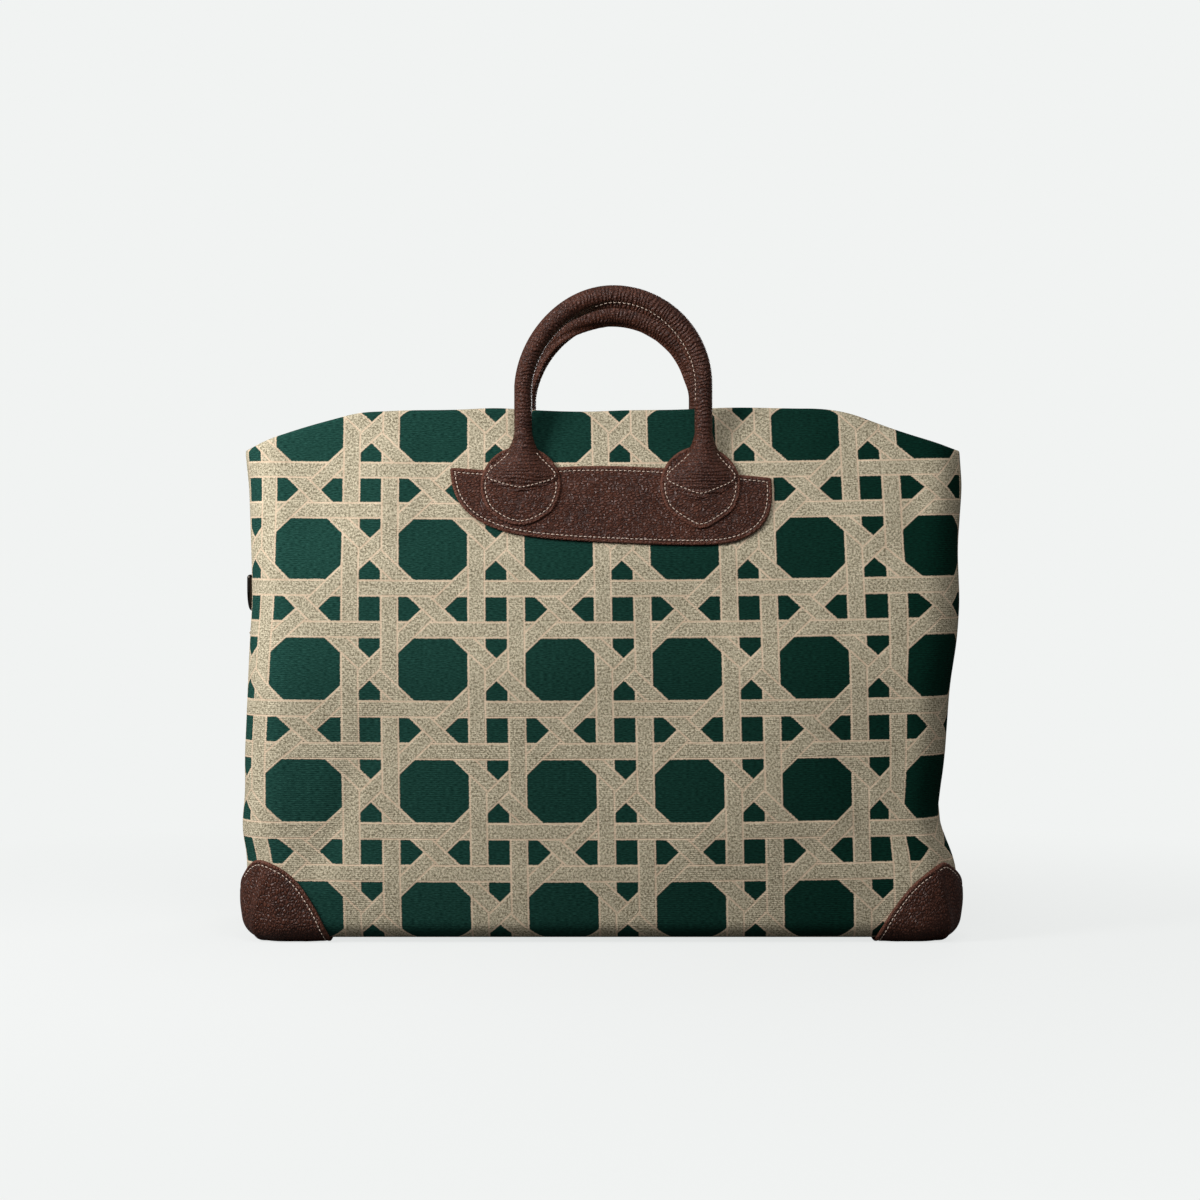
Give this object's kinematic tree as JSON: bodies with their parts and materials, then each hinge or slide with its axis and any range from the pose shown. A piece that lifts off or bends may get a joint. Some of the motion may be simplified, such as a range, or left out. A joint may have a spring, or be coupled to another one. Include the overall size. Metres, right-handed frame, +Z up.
{
  "type": "carpet bag",
  "caption": "Soft zip-top carpet bag in green and beige cane-pattern tapestry with rolled brown leather handles, handle patches, corner caps and side rings.",
  "frame": {"origin": "centre of the bag's base on the surface it stands on", "axes": "+Z up, +X to the right seen from the front, the front faces -Y, the zip runs along X"},
  "size_m": [0.5554, 0.218, 0.4931],
  "materials": {
    "cane_cloth": "woven tapestry, beige cane strands",
    "cane_green": "woven tapestry, deep green ground",
    "lining_cloth": "plain cotton",
    "zip_tape": "woven tape",
    "brown_leather": "pebbled, semi-matt",
    "dark_metal": "dark nickel, polished",
    "base_board": "pressed board",
    "handle_rope": "cotton rope"
  },
  "bodies": {
    "bag": {"front_panel": "cane_cloth", "back_panel": "cane_cloth", "base_panel": "cane_cloth", "base_board": "base_board", "lining": "lining_cloth", "cane_fields_front": "cane_green", "cane_fields_back": "cane_green", "zip_tape_front": "zip_tape", "zip_tape_back": "zip_tape", "zip_teeth_front": "dark_metal", "zip_teeth_back": "dark_metal", "zip_stop_left": "dark_metal", "zip_stop_right": "dark_metal", "handle_patch_front": "brown_leather", "chape_front_left": "brown_leather", "handle_end_front_left": "brown_leather", "corner_cap_front_left": "brown_leather", "chape_front_right": "brown_leather", "handle_end_front_right": "brown_leather", "corner_cap_front_right": "brown_leather", "handle_patch_back": "brown_leather", "chape_back_left": "brown_leather", "handle_end_back_left": "brown_leather", "corner_cap_back_left": "brown_leather", "chape_back_right": "brown_leather", "handle_end_back_right": "brown_leather", "corner_cap_back_right": "brown_leather", "ring_strap_left": "brown_leather", "ring_strap_right": "brown_leather"},
    "slider": {"zip_slider": "dark_metal"},
    "puller": {"zip_puller": "dark_metal", "zip_pull_tab": "brown_leather"},
    "left_ring": {"side_ring_left": "dark_metal"},
    "right_ring": {"side_ring_right": "dark_metal"},
    "front_handle": {"handle_front": "brown_leather", "handle_core_front": "handle_rope"},
    "back_handle": {"handle_back": "brown_leather", "handle_core_back": "handle_rope"}
  },
  "joints": [
    {"name": "zip_travel", "type": "slide", "parent": "bag", "child": "slider", "axis": [1, 0, 0], "range_m": [-0.4645, 0]},
    {"name": "puller_swing", "type": "hinge", "parent": "slider", "child": "puller", "pos_m": [0.23225, 0, 0.36705], "axis": [0, 1, 0], "range_deg": [0, 175]},
    {"name": "left_ring_swing", "type": "hinge", "parent": "bag", "child": "left_ring", "pos_m": [-0.2736, 0, 0.272], "axis": [0, 1, 0], "range_deg": [0, 165]},
    {"name": "right_ring_swing", "type": "hinge", "parent": "bag", "child": "right_ring", "pos_m": [0.2736, 0, 0.272], "axis": [0, -1, 0], "range_deg": [0, 165]},
    {"name": "front_handle_swing", "type": "hinge", "parent": "bag", "child": "front_handle", "pos_m": [0.009, -0.05931, 0.383], "axis": [1, 0, 0], "range_deg": [0, 88]},
    {"name": "back_handle_swing", "type": "hinge", "parent": "bag", "child": "back_handle", "pos_m": [0.009, 0.05931, 0.383], "axis": [-1, 0, 0], "range_deg": [0, 88]}
  ]
}
